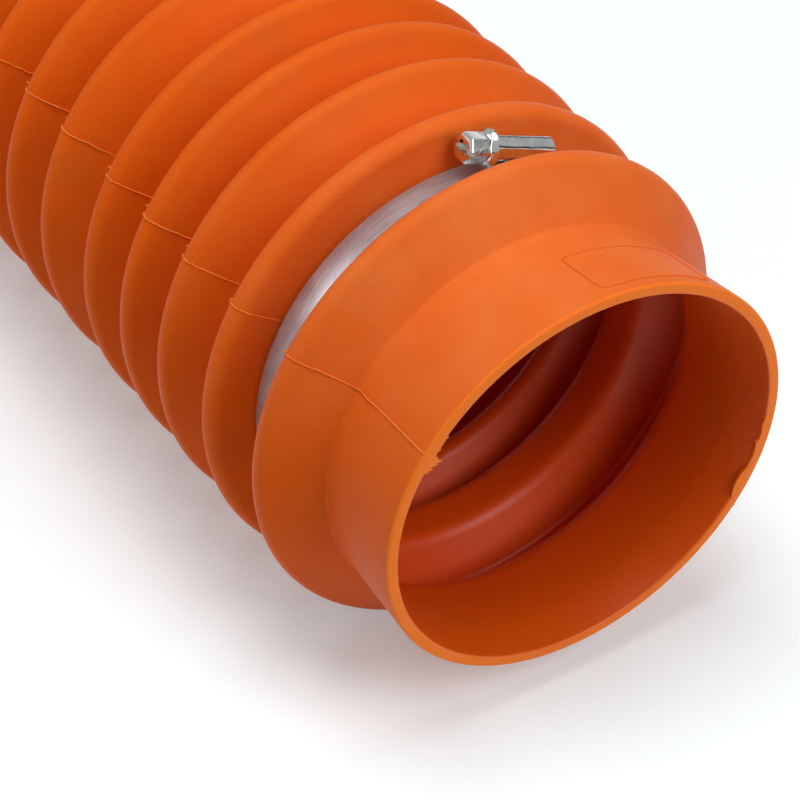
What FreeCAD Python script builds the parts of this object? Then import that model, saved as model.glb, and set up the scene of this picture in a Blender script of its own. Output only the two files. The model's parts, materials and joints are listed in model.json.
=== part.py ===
"""Flexible vent pipe: a moulded bellows pipe lying on its side, with a worm-drive clamp round it.

Millimetres. The pipe's axis is X and the clamped end looks along +X. Z is up, the floor is Z = 0
and the origin is on the floor under the middle of the pipe.
"""
import FreeCAD, Part
import math
import os

import Sketcher

# Every size of the model, each named once. Angles are in degrees.
SIZES = {
    # the pipe's wall
    "bore_radius": 55.0,            # takes a pipe of 110 mm outside diameter
    "crest_radius": 70.5,
    "crest_rounding": 3.6,
    "crest_wall": 2.0,
    "root_wall": 3.0,
    "ridge_rounding": 4.0,          # the ridges inside, under the outer roots
    "rest_flat_depth": 0.5,         # the soft crests are pressed flat where they lie on the floor
    # the cuffs at both ends
    "cuff_length": 42.0,            # from the rim to the nearest crest
    "cuff_root_reach": 12.5,        # from that crest to the fold where the cuff starts
    "cuff_root_wall": 2.0,
    "bore_land_reach": 13.0,        # from that crest to the end of the straight bore
    "cuff_edge_rounding": 6.0,
    "lead_in_length": 10.0,
    "mouth_flare": 2.0,             # how much wider the mouth is than the bore
    "rim_wall": 3.3,
    "rim_edge": 0.7,
    # the distances from crest to crest, starting at the clamped end; the pipe flexes, so they differ
    "pitch_1": 25.4,
    "pitch_2": 23.7,
    "pitch_3": 20.9,
    "pitch_4": 20.8,
    "pitch_5": 26.0,
    "pitch_6": 22.0,
    "pitch_7": 23.0,
    "pitch_8": 23.0,
    "pitch_9": 23.0,
    # the groove that the clamp lies in
    "clamp_place": 15.5,            # from the first crest to the middle of the clamp
    "groove_width": 10.6,
    "groove_wall": 2.4,
    "groove_ridge_inset": 1.8,      # the flat inside the groove ends this far short of it
    "groove_ridge_rounding": 5.0,
    # the clamp's strip
    "clamp_turn": 22.0,             # how far the screw is turned round the pipe from the top
    "seat_gap": 0.1,
    "band_width": 9.0,
    "band_thickness": 0.7,
    "tongue_angle": 12.0,           # where the strip's inner end stops, past the middle of the housing
    "ramp_top_angle": 16.0,
    "ramp_foot_angle": 24.0,
    "tail_angle": 8.0,              # where the strip's outer end stops, on the head's side
    # the saddle between the strip's two layers
    "saddle_thickness": 0.6,
    "saddle_angle": 6.5,
    "tab_length": 3.0,
    "tab_reach": 0.5,
    # the pressed housing over the screw
    "screw_clearance": 0.35,
    "housing_wall": 0.6,
    "barrel_open_angle": 30.0,      # how far the barrel reaches below the screw's axis
    "barrel_head_end": 15.9,
    "barrel_tip_end": 3.0,
    "foot_head_end": 9.0,
    "foot_tip_setback": 0.4,
    "foot_inner_half_width": 4.6,
    "foot_join_low": 25.0,          # the foot grows out of the barrel's wall between these angles
    "foot_join_high": 15.0,
    "shoulder_rise": 0.3,
    "shoulder_bend": 0.4,
    "leg_gap": 0.2,
    # the screw
    "thread_radius": 2.65,
    "screw_tip_setback": 1.0,
    "collar_gap": 0.3,
    "collar_radius": 5.0,
    "collar_thickness": 0.9,
    "collar_dome": 1.1,
    "collar_top_radius": 3.8,
    "hex_across_flats": 7.0,
    "head_length": 7.4,
    "head_chamfer": 0.5,
    "slot_width": 1.2,
    "slot_depth": 1.3,
}

PITCHES = [name for name in SIZES if name.startswith("pitch_")]


# A sum of sizes is a list of (factor, name) pairs. It gives the number and the matching formula.

def plus(*names):
    return [(1.0, name) for name in names]


def minus(*names):
    return [(-1.0, name) for name in names]


def half(*names):
    return [(0.5, name) for name in names]


def less_half(*names):
    return [(-0.5, name) for name in names]


def amount(terms):
    return sum(factor * SIZES[name] for factor, name in terms)


def formula(terms):
    return " + ".join("%g * Sizes.%s" % term for term in terms)


def alike(terms, factor):
    return [(factor * old, name) for old, name in terms]


doc = FreeCAD.newDocument("FlexibleVentPipe")
sheet = doc.addObject("Spreadsheet::Sheet", "Sizes")
for row, (name, number) in enumerate(SIZES.items(), start=1):
    sheet.set("A%d" % row, name)
    sheet.set("B%d" % row, "%s" % number)
    sheet.setAlias("B%d" % row, name)
doc.recompute()


# Places along the pipe, measured from the rim at the clamped end.

def crest_place(index):
    return plus("cuff_length", *PITCHES[:index])


crests = [crest_place(index) for index in range(len(PITCHES) + 1)]
far_rim = crests[-1] + plus("cuff_length")
groove_middle = crests[0] + plus("clamp_place")

# Radii of the pipe.
bore = plus("bore_radius")
crest = plus("crest_radius")
hollow = crest + minus("crest_wall")
root = bore + plus("root_wall")
cuff_root = bore + plus("cuff_root_wall")
groove = bore + plus("groove_wall")

# Radii of the clamp's layers, from the groove outwards, and the height of the screw over them.
strip_inside = groove + plus("seat_gap")
strip_outside = strip_inside + plus("band_thickness")
saddle_inside = strip_outside + plus("seat_gap")
saddle_outside = saddle_inside + plus("saddle_thickness")
tail_inside = saddle_outside + plus("seat_gap")
tail_outside = tail_inside + plus("band_thickness")
screw_height = tail_outside + plus("screw_clearance", "thread_radius")
barrel_inside = plus("thread_radius", "screw_clearance")
barrel_outside = barrel_inside + plus("housing_wall")

axis_height = crest + minus("rest_flat_depth")


def origin_plane(body, role):
    return next(item for item in body.Origin.OriginFeatures if item.Role == role)


def new_sketch(body, name, role):
    sketch = body.newObject("Sketcher::SketchObject", name)
    sketch.AttachmentSupport = [(origin_plane(body, role), "")]
    sketch.MapMode = "FlatFace"
    return sketch


def bind(sketch, constraint, text):
    index = sketch.addConstraint(constraint)
    sketch.setExpression("Constraints[%d]" % index, text)


def point_place(item, end, across, up):
    """The constraints, with their formulas, that set one point at two sums from the origin."""
    placed = []
    for kind, terms, zero_line in (("DistanceX", across, -2), ("DistanceY", up, -1)):
        value = amount(terms)
        if not terms:
            placed.append((Sketcher.Constraint("PointOnObject", item, end, zero_line), None))
        elif value < 0:
            turned_round = formula(alike(terms, -1.0))
            placed.append((Sketcher.Constraint(kind, item, end, -1, 1, -value), turned_round))
        else:
            placed.append((Sketcher.Constraint(kind, -1, 1, item, end, value), formula(terms)))
    return placed


def outline(sketch, corners):
    """A closed outline, drawn clockwise. A corner is its place across, its place up and, where it is
    round, its rounding: the place is then the middle of the circle that both sides touch."""
    spots = []
    for across, up, *rounding in corners:
        radius = amount(rounding[0]) if rounding else 0.0
        spots.append((FreeCAD.Vector(amount(across), amount(up), 0), radius))
    leaving = []
    for (start, round_start), (end, round_end) in zip(spots, spots[1:] + spots[:1]):
        way = end - start
        lean = math.acos((round_start - round_end) / way.Length)
        leaving.append(math.atan2(way.y, way.x) + lean)

    def touch(index, angle):
        spot, radius = spots[index]
        return spot + FreeCAD.Vector(radius * math.cos(angle), radius * math.sin(angle), 0)

    count = len(corners)
    sides = [
        Part.LineSegment(touch(index, leaving[index]), touch((index + 1) % count, leaving[index]))
        for index in range(count)
    ]
    rounds = {}
    shapes = list(sides)
    for index, (spot, radius) in enumerate(spots):
        if radius:
            rounds[index] = len(shapes)
            circle = Part.Circle(spot, FreeCAD.Vector(0, 0, 1), radius)
            start, end = leaving[index], leaving[index - 1]
            while end < start:
                end += 2 * math.pi
            shapes.append(Part.ArcOfCircle(circle, start, end))
    first = sketch.addGeometry(shapes, False)[0]
    parts = []
    for index, (across, up, *rounding) in enumerate(corners):
        before = first + (index - 1) % count
        after = first + index
        if index in rounds:
            turn = first + rounds[index]
            parts.append((Sketcher.Constraint("Tangent", before, 2, turn, 2), None))
            parts.append((Sketcher.Constraint("Tangent", turn, 1, after, 1), None))
            radius = Sketcher.Constraint("Radius", turn, amount(rounding[0]))
            parts.append((radius, formula(rounding[0])))
            parts += point_place(turn, 3, across, up)
        else:
            parts.append((Sketcher.Constraint("Coincident", before, 2, after, 1), None))
            parts += point_place(after, 1, across, up)
    numbers = sketch.addConstraint([constraint for constraint, text in parts])
    for number, (constraint, text) in zip(numbers, parts):
        if text:
            sketch.setExpression("Constraints[%d]" % number, text)


def polar(radius, degrees):
    turn = math.radians(degrees)
    return FreeCAD.Vector(radius * math.cos(turn), radius * math.sin(turn), 0)


def set_angle(sketch, line, degrees, text):
    bind(sketch, Sketcher.Constraint("Angle", line, math.radians(degrees)), "(%s) * 1 deg" % text)


# The pipe: one wall of revolution. Its crests and its inner ridges are round, with straight flanks
# between them, and its outer roots and inner hollows are creases.

edge = plus("rim_edge")
mouth = bore + plus("mouth_flare")
rim = mouth + plus("rim_wall")


def outer_crest(place):
    rounding = plus("crest_rounding")
    return (place, crest + alike(rounding, -1.0), rounding)


def inner_ridge(place, rounding):
    return (place, bore + rounding, rounding)


cuff_edge = plus("cuff_edge_rounding")
groove_edge = plus("groove_ridge_rounding")
groove_start = groove_middle + less_half("groove_width")
groove_end = groove_middle + half("groove_width")
outer_corners = [
    ([], mouth + edge),
    ([], rim + alike(edge, -1.0)),
    (edge, rim),
    (crests[0] + minus("cuff_root_reach"), cuff_root),
    outer_crest(crests[0]),
    (groove_start, groove),
    (groove_end, groove),
]
inner_corners = [
    (edge, mouth),
    (plus("lead_in_length"), bore),
    inner_ridge(crests[0] + minus("bore_land_reach"), cuff_edge),
    (crests[0], hollow),
    inner_ridge(groove_start + plus("groove_ridge_inset"), groove_edge),
    inner_ridge(groove_end + minus("groove_ridge_inset"), groove_edge),
]
for place, pitch in zip(crests[1:], PITCHES[1:]):
    trough = place + half(pitch)
    outer_corners += [outer_crest(place), (trough, root)]
    inner_corners += [(place, hollow), inner_ridge(trough, plus("ridge_rounding"))]
outer_corners += [
    outer_crest(crests[-1]),
    (crests[-1] + plus("cuff_root_reach"), cuff_root),
    (far_rim + alike(edge, -1.0), rim),
    (far_rim, rim + alike(edge, -1.0)),
    (far_rim, mouth + edge),
]
inner_corners += [
    (crests[-1], hollow),
    inner_ridge(crests[-1] + plus("bore_land_reach"), cuff_edge),
    (far_rim + minus("lead_in_length"), bore),
    (far_rim + alike(edge, -1.0), mouth),
]

wall = doc.addObject("PartDesign::Body", "PipeWall")
wall_sketch = new_sketch(wall, "WallSection", "XZ_Plane")
outline(wall_sketch, outer_corners + inner_corners[::-1])
doc.recompute()
turned = wall.newObject("PartDesign::Revolution", "WallTurned")
turned.Profile = wall_sketch
turned.ReferenceAxis = (wall_sketch, ["H_Axis"])
turned.Angle = 360.0
wall.Placement = FreeCAD.Placement(
    FreeCAD.Vector(amount(far_rim) / 2, 0, amount(axis_height)),
    FreeCAD.Rotation(FreeCAD.Vector(0, 0, 1), 180),
)
wall.setExpression("Placement.Base.x", "(%s) / 2" % formula(far_rim))
wall.setExpression("Placement.Base.z", formula(axis_height))

# What lies below the floor is pressed away from the crests.
floor = doc.addObject("Part::Box", "BelowFloor")
floor.setExpression("Length", formula(far_rim))
floor.setExpression("Width", formula(alike(crest, 2.0)))
floor.setExpression("Height", formula(crest))
floor.setExpression("Placement.Base.x", "(%s) / -2" % formula(far_rim))
floor.setExpression("Placement.Base.y", formula(alike(crest, -1.0)))
floor.setExpression("Placement.Base.z", formula(alike(crest, -1.0)))
bellows = doc.addObject("Part::Cut", "Bellows")
bellows.Base = wall
bellows.Tool = floor
bellows.Label = "bellows"


# The clamp is drawn upright round the pipe's axis, with the screw on top along Y and its head
# towards -Y. The whole clamp is then turned round the pipe and moved to its groove.

def place_clamp(item):
    along = far_rim_half + alike(groove_middle, -1.0)
    item.Placement = FreeCAD.Placement(
        FreeCAD.Vector(amount(along), 0, amount(axis_height)),
        FreeCAD.Rotation(FreeCAD.Vector(1, 0, 0), -SIZES["clamp_turn"]),
    )
    item.setExpression("Placement.Base.x", formula(along))
    item.setExpression("Placement.Base.z", formula(axis_height))
    item.setExpression("Placement.Rotation.Angle", "Sizes.clamp_turn * 1 deg")
    item.setExpression("Placement.Rotation.Axis.x", "-1")


far_rim_half = alike(far_rim, 0.5)

# The strip: almost a full turn in the groove, a ramp, and the slotted tail over its own start.
band = doc.addObject("PartDesign::Body", "Band")
band.Label = "clamp_band"
band_sketch = new_sketch(band, "StripSection", "YZ_Plane")
tongue = 90.0 - SIZES["tongue_angle"]
ramp_top = 90.0 - SIZES["ramp_top_angle"]
ramp_foot = 90.0 - SIZES["ramp_foot_angle"]
tail = 90.0 + SIZES["tail_angle"]
centre = FreeCAD.Vector(0, 0, 0)
up = FreeCAD.Vector(0, 0, 1)


def arc(radius, start, end):
    circle = Part.Circle(centre, up, radius)
    return Part.ArcOfCircle(circle, math.radians(start), math.radians(end))


inside, outside = amount(strip_inside), amount(strip_outside)
over_inside, over_outside = amount(tail_inside), amount(tail_outside)
band_sketch.addGeometry([
    arc(inside, tongue, ramp_foot + 360),
    Part.LineSegment(polar(inside, ramp_foot), polar(over_inside, ramp_top)),
    arc(over_inside, ramp_top, tail),
    Part.LineSegment(polar(over_inside, tail), polar(over_outside, tail)),
    arc(over_outside, ramp_top, tail),
    Part.LineSegment(polar(over_outside, ramp_top), polar(outside, ramp_foot)),
    arc(outside, tongue, ramp_foot + 360),
    Part.LineSegment(polar(inside, tongue), polar(outside, tongue)),
], False)
band_sketch.addGeometry([
    Part.LineSegment(centre, polar(outside, ramp_foot)),
    Part.LineSegment(centre, polar(over_outside, ramp_top)),
], True)
strip_in, ramp_in, tail_in, tail_end, tail_out = range(5)
ramp_out, strip_out, tongue_end, foot_ray, top_ray = range(5, 10)
joined = [
    (strip_in, 2, ramp_in, 1), (ramp_in, 2, tail_in, 1), (tail_in, 2, tail_end, 1),
    (tail_end, 2, tail_out, 2), (tail_out, 1, ramp_out, 1), (ramp_out, 2, strip_out, 2),
    (strip_out, 1, tongue_end, 2), (tongue_end, 1, strip_in, 1),
    (foot_ray, 1, -1, 1), (top_ray, 1, -1, 1),
    (foot_ray, 2, strip_out, 2), (top_ray, 2, tail_out, 1),
]
joined += [(item, 3, -1, 1) for item in (strip_in, tail_in, tail_out, strip_out)]
band_sketch.addConstraint([Sketcher.Constraint("Coincident", *ends) for ends in joined])
band_sketch.addConstraint([
    Sketcher.Constraint("PointOnObject", strip_in, 2, foot_ray),
    Sketcher.Constraint("PointOnObject", tail_in, 1, top_ray),
    Sketcher.Constraint("PointOnObject", -1, 1, tail_end),
    Sketcher.Constraint("PointOnObject", -1, 1, tongue_end),
])
for item, terms in (
    (strip_in, strip_inside), (strip_out, strip_outside), (tail_in, tail_inside), (tail_out, tail_outside),
):
    bind(band_sketch, Sketcher.Constraint("Radius", item, amount(terms)), formula(terms))
set_angle(band_sketch, foot_ray, ramp_foot, "90 - Sizes.ramp_foot_angle")
set_angle(band_sketch, top_ray, ramp_top, "90 - Sizes.ramp_top_angle")
set_angle(band_sketch, tongue_end, tongue, "90 - Sizes.tongue_angle")
set_angle(band_sketch, tail_end, tail, "90 + Sizes.tail_angle")
doc.recompute()
strip = band.newObject("PartDesign::Pad", "Strip")
strip.Profile = band_sketch
strip.SideType = "Symmetric"
strip.setExpression("Length", "Sizes.band_width")
place_clamp(band)

# The housing: a barrel that is open below over the screw, and a foot that straddles the strip.
housing = doc.addObject("PartDesign::Body", "Housing")
housing.Label = "clamp_housing"
barrel_sketch = new_sketch(housing, "BarrelSection", "XZ_Plane")
barrel_sketch.setExpression("AttachmentOffset.Base.z", "-Sizes.barrel_tip_end")
middle = FreeCAD.Vector(0, amount(screw_height), 0)
open_angle = SIZES["barrel_open_angle"]


def barrel_arc(radius):
    circle = Part.Circle(middle, up, radius)
    return Part.ArcOfCircle(circle, math.radians(-open_angle), math.radians(180 + open_angle))


ray_in, ray_out = amount(barrel_inside), amount(barrel_outside)
barrel_sketch.addGeometry([
    barrel_arc(ray_in),
    Part.LineSegment(middle + polar(ray_in, -open_angle), middle + polar(ray_out, -open_angle)),
    barrel_arc(ray_out),
    Part.LineSegment(middle + polar(ray_in, 180 + open_angle), middle + polar(ray_out, 180 + open_angle)),
], False)
barrel_in, right_lip, barrel_out, left_lip = range(4)
barrel_sketch.addConstraint([
    Sketcher.Constraint("Coincident", barrel_in, 1, right_lip, 1),
    Sketcher.Constraint("Coincident", right_lip, 2, barrel_out, 1),
    Sketcher.Constraint("Coincident", barrel_out, 2, left_lip, 2),
    Sketcher.Constraint("Coincident", left_lip, 1, barrel_in, 2),
    Sketcher.Constraint("Coincident", barrel_in, 3, barrel_out, 3),
    Sketcher.Constraint("PointOnObject", barrel_in, 3, -2),
    Sketcher.Constraint("PointOnObject", barrel_in, 3, right_lip),
    Sketcher.Constraint("PointOnObject", barrel_in, 3, left_lip),
])
bind(barrel_sketch, Sketcher.Constraint("Radius", barrel_in, ray_in), formula(barrel_inside))
bind(barrel_sketch, Sketcher.Constraint("Radius", barrel_out, ray_out), formula(barrel_outside))
rise = Sketcher.Constraint("DistanceY", -1, 1, barrel_in, 3, amount(screw_height))
bind(barrel_sketch, rise, formula(screw_height))
set_angle(barrel_sketch, right_lip, -open_angle, "-Sizes.barrel_open_angle")
set_angle(barrel_sketch, left_lip, 180 + open_angle, "180 + Sizes.barrel_open_angle")
doc.recompute()
barrel = housing.newObject("PartDesign::Pad", "Barrel")
barrel.Profile = barrel_sketch
barrel.setExpression("Length", "Sizes.barrel_tip_end + Sizes.barrel_head_end")

low_join = polar(1, SIZES["foot_join_low"])
high_join = polar(1, SIZES["foot_join_high"])
low_out, low_down = low_join.x * 1.02, low_join.y * 1.02
high_out, high_down = high_join.x * 0.98, high_join.y * 0.98
foot_tip = plus("barrel_tip_end") + minus("foot_tip_setback")
foot_inner = plus("foot_inner_half_width")
foot_outer = foot_inner + plus("housing_wall")
shoulder = tail_outside + plus("shoulder_rise")
leg_end = strip_inside + plus("leg_gap")
for side, name in ((1.0, "NearFoot"), (-1.0, "FarFoot")):
    foot_sketch = new_sketch(housing, name + "Section", "XZ_Plane")
    foot_sketch.setExpression("AttachmentOffset.Base.z", formula(alike(foot_tip, -1.0)))
    outline(foot_sketch, [
        (alike(barrel_inside, low_out * side), screw_height + alike(barrel_inside, -low_down)),
        (alike(foot_inner, side), shoulder),
        (alike(foot_inner, side), leg_end),
        (alike(foot_outer, side), leg_end),
        (alike(foot_outer, side), shoulder + plus("shoulder_bend")),
        (alike(barrel_outside, high_out * side), screw_height + alike(barrel_outside, -high_down)),
    ])
    doc.recompute()
    foot = housing.newObject("PartDesign::Pad", name)
    foot.Profile = foot_sketch
    foot.setExpression("Length", formula(foot_tip + plus("foot_head_end")))
    doc.recompute()

# Windows in the legs, which the saddle's tabs reach through.
window_sketch = new_sketch(housing, "WindowSection", "YZ_Plane")
window_half = half("tab_length") + plus("seat_gap")
window_low = saddle_inside + minus("seat_gap")
window_high = saddle_outside + plus("seat_gap")
outline(window_sketch, [
    (alike(window_half, -1.0), window_low),
    (window_half, window_low),
    (window_half, window_high),
    (alike(window_half, -1.0), window_high),
])
doc.recompute()
windows = housing.newObject("PartDesign::Pocket", "Windows")
windows.Profile = window_sketch
windows.SideType = "Symmetric"
windows.setExpression("Length", formula(alike(foot_outer, 2.5)))
doc.recompute()
place_clamp(housing)

# The saddle: a curved plate on the strip, held by a tab through each leg of the housing.
saddle = doc.addObject("PartDesign::Body", "Saddle")
saddle.Label = "clamp_saddle"
saddle_sketch = new_sketch(saddle, "SaddleSection", "YZ_Plane")
plate_in, plate_out = amount(saddle_inside), amount(saddle_outside)
left, right = 90.0 + SIZES["saddle_angle"], 90.0 - SIZES["saddle_angle"]
saddle_sketch.addGeometry([
    arc(plate_in, right, left),
    Part.LineSegment(polar(plate_in, right), polar(plate_out, right)),
    arc(plate_out, right, left),
    Part.LineSegment(polar(plate_in, left), polar(plate_out, left)),
], False)
saddle_sketch.addConstraint([
    Sketcher.Constraint("Coincident", 0, 1, 1, 1),
    Sketcher.Constraint("Coincident", 1, 2, 2, 1),
    Sketcher.Constraint("Coincident", 2, 2, 3, 2),
    Sketcher.Constraint("Coincident", 3, 1, 0, 2),
    Sketcher.Constraint("Coincident", 0, 3, -1, 1),
    Sketcher.Constraint("Coincident", 2, 3, -1, 1),
    Sketcher.Constraint("PointOnObject", -1, 1, 1),
    Sketcher.Constraint("PointOnObject", -1, 1, 3),
])
bind(saddle_sketch, Sketcher.Constraint("Radius", 0, plate_in), formula(saddle_inside))
bind(saddle_sketch, Sketcher.Constraint("Radius", 2, plate_out), formula(saddle_outside))
set_angle(saddle_sketch, 1, right, "90 - Sizes.saddle_angle")
set_angle(saddle_sketch, 3, left, "90 + Sizes.saddle_angle")
doc.recompute()
plate = saddle.newObject("PartDesign::Pad", "Plate")
plate.Profile = saddle_sketch
plate.SideType = "Symmetric"
plate.setExpression("Length", "Sizes.band_width")
tab_sketch = new_sketch(saddle, "TabSection", "YZ_Plane")
tab_half = half("tab_length")
outline(tab_sketch, [
    (alike(tab_half, -1.0), saddle_inside),
    (tab_half, saddle_inside),
    (tab_half, saddle_outside + less_half("seat_gap")),
    (alike(tab_half, -1.0), saddle_outside + less_half("seat_gap")),
])
doc.recompute()
tabs = saddle.newObject("PartDesign::Pad", "Tabs")
tabs.Profile = tab_sketch
tabs.SideType = "Symmetric"
tabs.setExpression("Length", formula(alike(foot_inner + plus("tab_reach"), 2.0)))
place_clamp(saddle)

# The screw: shank, domed collar and slotted hexagon head, all on the screw's axis.
head_back = plus("barrel_head_end", "collar_gap")
head_front = head_back + plus("collar_thickness", "head_length")
turn_to_head = FreeCAD.Rotation(FreeCAD.Vector(1, 0, 0), 90)


def on_screw(kind, name, start):
    """A primitive whose own axis points from the tip to the head; start is its end at the tip."""
    item = doc.addObject(kind, name)
    item.Placement = FreeCAD.Placement(
        FreeCAD.Vector(0, -amount(start), amount(screw_height)), turn_to_head
    )
    item.setExpression("Placement.Base.y", formula(alike(start, -1.0)))
    item.setExpression("Placement.Base.z", formula(screw_height))
    return item


screw_tip = plus("barrel_tip_end") + minus("screw_tip_setback")
shank = on_screw("Part::Cylinder", "Shank", alike(screw_tip, -1.0))
shank.setExpression("Radius", "Sizes.thread_radius")
shank.setExpression("Height", formula(screw_tip + head_back + half("collar_thickness")))
collar = on_screw("Part::Cylinder", "Collar", head_back)
collar.setExpression("Radius", "Sizes.collar_radius")
collar.setExpression("Height", "Sizes.collar_thickness")
dome = on_screw("Part::Cone", "CollarDome", head_back + plus("collar_thickness"))
dome.setExpression("Radius1", "Sizes.collar_radius")
dome.setExpression("Radius2", "Sizes.collar_top_radius")
dome.setExpression("Height", "Sizes.collar_dome")
hexagon = on_screw("Part::Prism", "Hexagon", head_back + half("collar_thickness"))
hexagon.Polygon = 6
hexagon.setExpression("Circumradius", "Sizes.hex_across_flats / sqrt(3)")
hexagon.setExpression("Height", formula(half("collar_thickness") + plus("head_length")))
bevel = on_screw("Part::Cone", "HeadBevel", head_back)
bevel.setExpression("Height", formula(head_front + alike(head_back, -1.0)))
bevel.setExpression("Radius2", "Sizes.hex_across_flats / sqrt(3) - Sizes.head_chamfer")
bevel.setExpression("Radius1", "Radius2 + Height")
head = doc.addObject("Part::Common", "Head")
head.Base = hexagon
head.Tool = bevel
screw_solid = doc.addObject("Part::MultiFuse", "ScrewSolid")
screw_solid.Shapes = [shank, collar, dome, head]
slot = doc.addObject("Part::Box", "Slot")
slot.setExpression("Length", "2 * Sizes.hex_across_flats")
slot.setExpression("Width", "2 * Sizes.slot_depth")
slot.setExpression("Height", "Sizes.slot_width")
slot.setExpression("Placement.Base.x", "-Sizes.hex_across_flats")
slot.setExpression("Placement.Base.y", "-(%s) - Sizes.slot_depth" % formula(head_front))
slot.setExpression("Placement.Base.z", "%s - Sizes.slot_width / 2" % formula(screw_height))
screw = doc.addObject("Part::Cut", "Screw")
screw.Label = "clamp_screw"
screw.Base = screw_solid
screw.Tool = slot
doc.recompute()
place_clamp(screw)
doc.recompute()

# Every object must have computed, and every piece must be a sound solid, before a file is written.
for item in doc.Objects:
    if "Invalid" in item.State or "Error" in item.State:
        raise RuntimeError("%s did not compute: %s" % (item.Label, item.State))
pieces = [bellows, band, housing, saddle, screw]
for piece in pieces:
    if piece.Shape.isNull() or not piece.Shape.isValid():
        raise RuntimeError("%s has no valid shape" % piece.Label)

os.makedirs("parts", exist_ok=True)
for piece in pieces:
    piece.Shape.exportStep("parts/%s.step" % piece.Label)
    box = piece.Shape.optimalBoundingBox(False, False)
    print("%-14s %8.1f mm3  x %.1f..%.1f  y %.1f..%.1f  z %.2f..%.2f  solids %d" % (
        piece.Label, piece.Shape.Volume, box.XMin, box.XMax, box.YMin, box.YMax, box.ZMin, box.ZMax,
        len(piece.Shape.Solids),
    ))
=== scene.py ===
"""Flexible vent pipe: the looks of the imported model, with its floor, light and camera."""
import json
import math
import random

import bpy
from mathutils import Matrix, Vector


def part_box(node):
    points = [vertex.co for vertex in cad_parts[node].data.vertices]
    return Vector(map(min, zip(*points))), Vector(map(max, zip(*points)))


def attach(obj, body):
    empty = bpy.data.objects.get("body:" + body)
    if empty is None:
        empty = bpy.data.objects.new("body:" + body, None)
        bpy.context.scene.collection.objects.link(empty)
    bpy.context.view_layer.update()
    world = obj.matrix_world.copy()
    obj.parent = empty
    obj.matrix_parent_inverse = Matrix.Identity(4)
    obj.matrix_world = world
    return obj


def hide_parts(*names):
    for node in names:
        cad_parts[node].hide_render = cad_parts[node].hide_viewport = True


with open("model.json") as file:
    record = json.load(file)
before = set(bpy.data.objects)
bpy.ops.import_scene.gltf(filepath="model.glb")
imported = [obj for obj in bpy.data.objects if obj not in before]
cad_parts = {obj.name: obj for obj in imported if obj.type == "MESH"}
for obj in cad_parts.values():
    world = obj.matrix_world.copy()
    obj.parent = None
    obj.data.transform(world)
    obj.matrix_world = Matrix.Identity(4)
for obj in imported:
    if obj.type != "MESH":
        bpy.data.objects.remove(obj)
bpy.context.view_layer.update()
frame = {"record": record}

MM = 0.001

# Sizes of the pipe in millimetres, as the model has them.
BORE_RADIUS = 55.0
CREST_RADIUS = 70.5
CREST_ROUNDING = 3.6
CREST_WALL = 2.0
ROOT_RADIUS = 58.0
RIDGE_ROUNDING = 4.0
CUFF_LENGTH = 42.0
CUFF_ROOT_REACH = 12.5
CUFF_ROOT_RADIUS = 57.0
BORE_LAND_REACH = 13.0
CUFF_EDGE_ROUNDING = 6.0
MOUTH_RADIUS = 57.0
RIM_RADIUS = 60.3
PITCHES = (25.4, 23.7, 20.9, 20.8, 26.0, 22.0, 23.0, 23.0, 23.0)
CLAMP_PLACE = 15.5
GROOVE_WIDTH = 10.6
GROOVE_RADIUS = 57.4
GROOVE_RIDGE_INSET = 1.8
GROOVE_RIDGE_ROUNDING = 5.0

# Finer roundings, where the model has sharp folds and edges.
HOLLOW_ROUNDING = 2.2
ROOT_ROUNDING = 1.6
GROOVE_ROUNDING = 0.8
RIM_ROUNDING = 0.8
MOUTH_ROUNDING = 0.5
LEAD_IN_END = 12.0
LEAD_IN_ROUNDING = 12.0
ARC_STEP = math.radians(14)
PIPE_STEPS = 192

# The pipe's inside is where the surface's normal looks inward by more than the edge, with a fade.
INSIDE_EDGE = -0.05
INSIDE_FADE = 0.2

# Where the two halves of the mould meet, in degrees from the top, and the flash that they leave.
PARTING_ANGLES = (-57.0, 123.0)
PARTING_SWEEP = 2.0
FLASH_RADIUS = 0.19
FLASH_LIFT = 0.14
FLASH_WAVER = 0.3
FLASH_CUTS = 5
FLASH_END_GAP = 0.5
FLASH_SEED = 3

# The torn nub on a crest: its own sizes, how far behind the crest it stands, and the ranges that
# its copies are drawn from.
NUB_FOOT_RADIUS = 0.42
NUB_TOP_RADIUS = 0.16
NUB_LENGTH = 1.7
NUB_MIDDLE = 0.6
NUB_CUTS = (0.5, 1.0)
NUB_WAVER = 0.12
NUB_SETBACK = 1.8
NUB_DEPTH = 0.6
NUB_BACKWARD = (0.5, 1.1)
NUB_TURN = 0.5
NUB_STRAY = 0.5
NUB_SIZES = (0.7, 1.2)
NUB_SEED = 5

# The ragged bits on the mouth's inner edge: each tooth is an angle and how far it reaches in.
RIM_BURR = (
    (-60.2, 0.0), (-59.8, 1.1), (-59.5, 0.4), (-59.0, 2.0), (-58.7, 1.9), (-58.5, 0.7),
    (-57.9, 1.5), (-57.4, 2.9), (-57.1, 1.6), (-56.2, 3.6), (-55.9, 3.3), (-55.6, 1.3),
    (-55.2, 1.6), (-54.9, 0.2), (-53.5, 0.1), (-52.9, 0.7), (-52.5, 0.1), (-49.8, 0.05),
    (-49.2, 0.5), (-48.8, 0.0),
)
RIM_TRIMMING = (
    (96.0, 0.0), (98.0, 0.4), (100.5, 0.1), (103.0, 0.05), (104.0, 0.8), (105.5, 0.35),
    (108.0, 0.1), (112.0, 0.2), (114.5, 1.1), (118.0, 1.5), (121.0, 0.8), (122.5, 0.0),
)
TORN_PLACE = 0.47
TORN_ROOT = 0.8
TORN_LEAN = 0.12
TORN_THICKNESS = 0.9

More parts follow.
